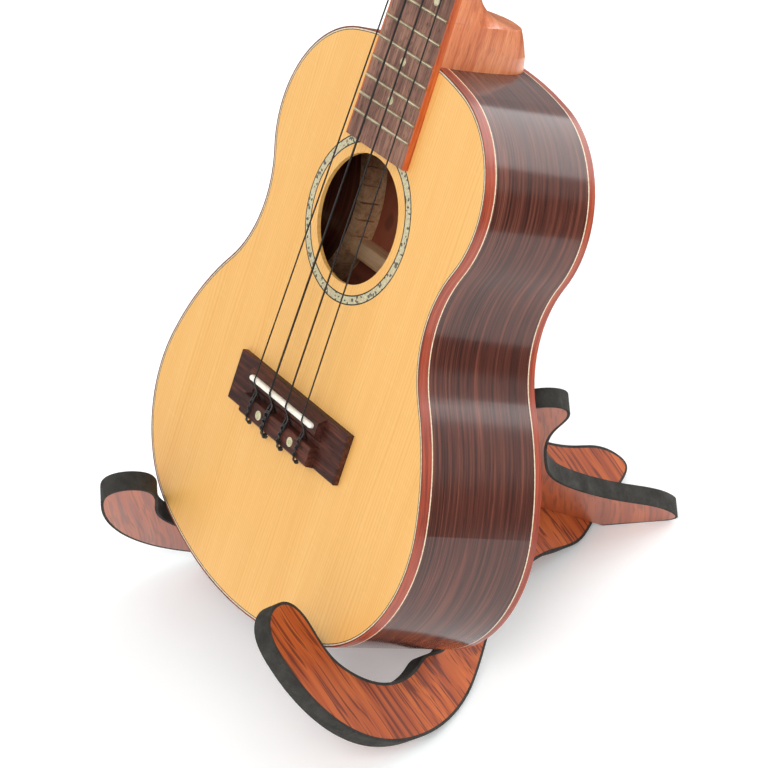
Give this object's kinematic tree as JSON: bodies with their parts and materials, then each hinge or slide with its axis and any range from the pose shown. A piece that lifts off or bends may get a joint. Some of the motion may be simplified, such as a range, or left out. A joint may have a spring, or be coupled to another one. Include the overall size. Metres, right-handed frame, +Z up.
{
  "type": "ukulele on stand",
  "caption": "Concert ukulele leaning on a stand of crossing hooked boards with soft black edge strips.",
  "frame": {"origin": "on the floor under the middle of the whole object's box", "axes": "+Z up, the soundboard faces -Y and leans back, +X to the right seen from the front"},
  "size_m": [0.2162, 0.3267, 0.5733],
  "materials": {
    "board_core": "matt",
    "board_face": "satin with a straight dark grain",
    "edge_rubber": "matt",
    "spruce": "satin lacquer",
    "bare_spruce": "bare wood",
    "rosewood": "satin lacquer",
    "mahogany": "satin lacquer",
    "fingerboard_wood": "oiled",
    "black_line": "lacquered",
    "cream_line": "lacquered",
    "pearl": "polished shell",
    "bone": "polished",
    "nickel": "polished",
    "steel": "machined",
    "nylon": "smooth",
    "button": "polished"
  },
  "bodies": {
    "stand_right": {"stand_right_core": "board_core", "stand_right_faces": "board_face", "stand_right_edge_strip": "edge_rubber"},
    "stand_left": {"stand_left_core": "board_core", "stand_left_faces": "board_face", "stand_left_edge_strip": "edge_rubber"},
    "tuner_post_1": {"tuner_post_1": "nickel", "string_winding_1": "nylon"},
    "tuner_button_1": {"tuner_button_1": "button", "worm_shaft_1": "steel"},
    "tuner_post_2": {"tuner_post_2": "nickel", "string_winding_2": "nylon"},
    "tuner_button_2": {"tuner_button_2": "button", "worm_shaft_2": "steel"},
    "tuner_post_3": {"tuner_post_3": "nickel", "string_winding_3": "nylon"},
    "tuner_button_3": {"tuner_button_3": "button", "worm_shaft_3": "steel"},
    "tuner_post_4": {"tuner_post_4": "nickel", "string_winding_4": "nylon"},
    "tuner_button_4": {"tuner_button_4": "button", "worm_shaft_4": "steel"},
    "ukulele": {"soundboard": "spruce", "back_plate": "rosewood", "side_right": "rosewood", "side_left": "rosewood", "top_binding": "mahogany", "purfling_black": "black_line", "purfling_white": "cream_line", "side_line_top": "cream_line", "side_line_back": "cream_line", "back_binding": "mahogany", "rosette_pearl": "pearl", "rosette_lines": "black_line", "bridge": "rosewood", "saddle": "bone", "bridge_dots": "pearl", "bridge_plate": "bare_spruce", "neck_block": "bare_spruce", "tail_block": "bare_spruce", "top_lining": "bare_spruce", "back_lining": "bare_spruce", "top_braces": "bare_spruce", "back_braces": "bare_spruce", "neck": "mahogany", "fretboard": "fingerboard_wood", "fretboard_binding": "mahogany", "frets": "nickel", "fret_dots": "pearl", "nut": "bone", "headstock_veneer": "rosewood", "tuner_bushings": "nickel", "tuner_screws": "nickel", "tuner_housings": "nickel", "string_1": "nylon", "string_2": "nylon", "string_3": "nylon", "string_4": "nylon"}
  },
  "joints": [
    {"name": "ukulele_lift", "type": "slide", "parent": "stand_right", "child": "ukulele", "axis": [0, 0.1564, 0.9877], "range_m": [0, 0.285]},
    {"name": "board_slide", "type": "slide", "parent": "stand_right", "child": "stand_left", "axis": [0, -0.7986, 0.6018], "range_m": [0, 0.068]},
    {"name": "tuner_button_1_turn", "type": "hinge", "parent": "ukulele", "child": "tuner_button_1", "pos_m": [-0.0175, 0.11909, 0.50155], "axis": [-1, 0, 0], "continuous": true},
    {"name": "tuner_post_1_turn", "type": "hinge", "parent": "ukulele", "child": "tuner_post_1", "pos_m": [-0.0175, 0.09965, 0.50603], "axis": [0, -0.7826, 0.6225], "continuous": true},
    {"name": "tuner_button_2_turn", "type": "hinge", "parent": "ukulele", "child": "tuner_button_2", "pos_m": [-0.0175, 0.14897, 0.53912], "axis": [-1, 0, 0], "continuous": true},
    {"name": "tuner_post_2_turn", "type": "hinge", "parent": "ukulele", "child": "tuner_post_2", "pos_m": [-0.0175, 0.12953, 0.54359], "axis": [0, -0.7826, 0.6225], "continuous": true},
    {"name": "tuner_button_3_turn", "type": "hinge", "parent": "ukulele", "child": "tuner_button_3", "pos_m": [0.0175, 0.14897, 0.53912], "axis": [1, 0, 0], "continuous": true},
    {"name": "tuner_post_3_turn", "type": "hinge", "parent": "ukulele", "child": "tuner_post_3", "pos_m": [0.0175, 0.12953, 0.54359], "axis": [0, -0.7826, 0.6225], "continuous": true},
    {"name": "tuner_button_4_turn", "type": "hinge", "parent": "ukulele", "child": "tuner_button_4", "pos_m": [0.0175, 0.11909, 0.50155], "axis": [1, 0, 0], "continuous": true},
    {"name": "tuner_post_4_turn", "type": "hinge", "parent": "ukulele", "child": "tuner_post_4", "pos_m": [0.0175, 0.09965, 0.50603], "axis": [0, -0.7826, 0.6225], "continuous": true}
  ],
  "couplings": [
    {"joint": "board_slide", "follows": "ukulele_lift", "ratio": 0.235},
    {"joint": "tuner_post_1_turn", "follows": "tuner_button_1_turn", "ratio": -0.071429},
    {"joint": "tuner_post_2_turn", "follows": "tuner_button_2_turn", "ratio": -0.071429},
    {"joint": "tuner_post_3_turn", "follows": "tuner_button_3_turn", "ratio": 0.071429},
    {"joint": "tuner_post_4_turn", "follows": "tuner_button_4_turn", "ratio": 0.071429}
  ]
}
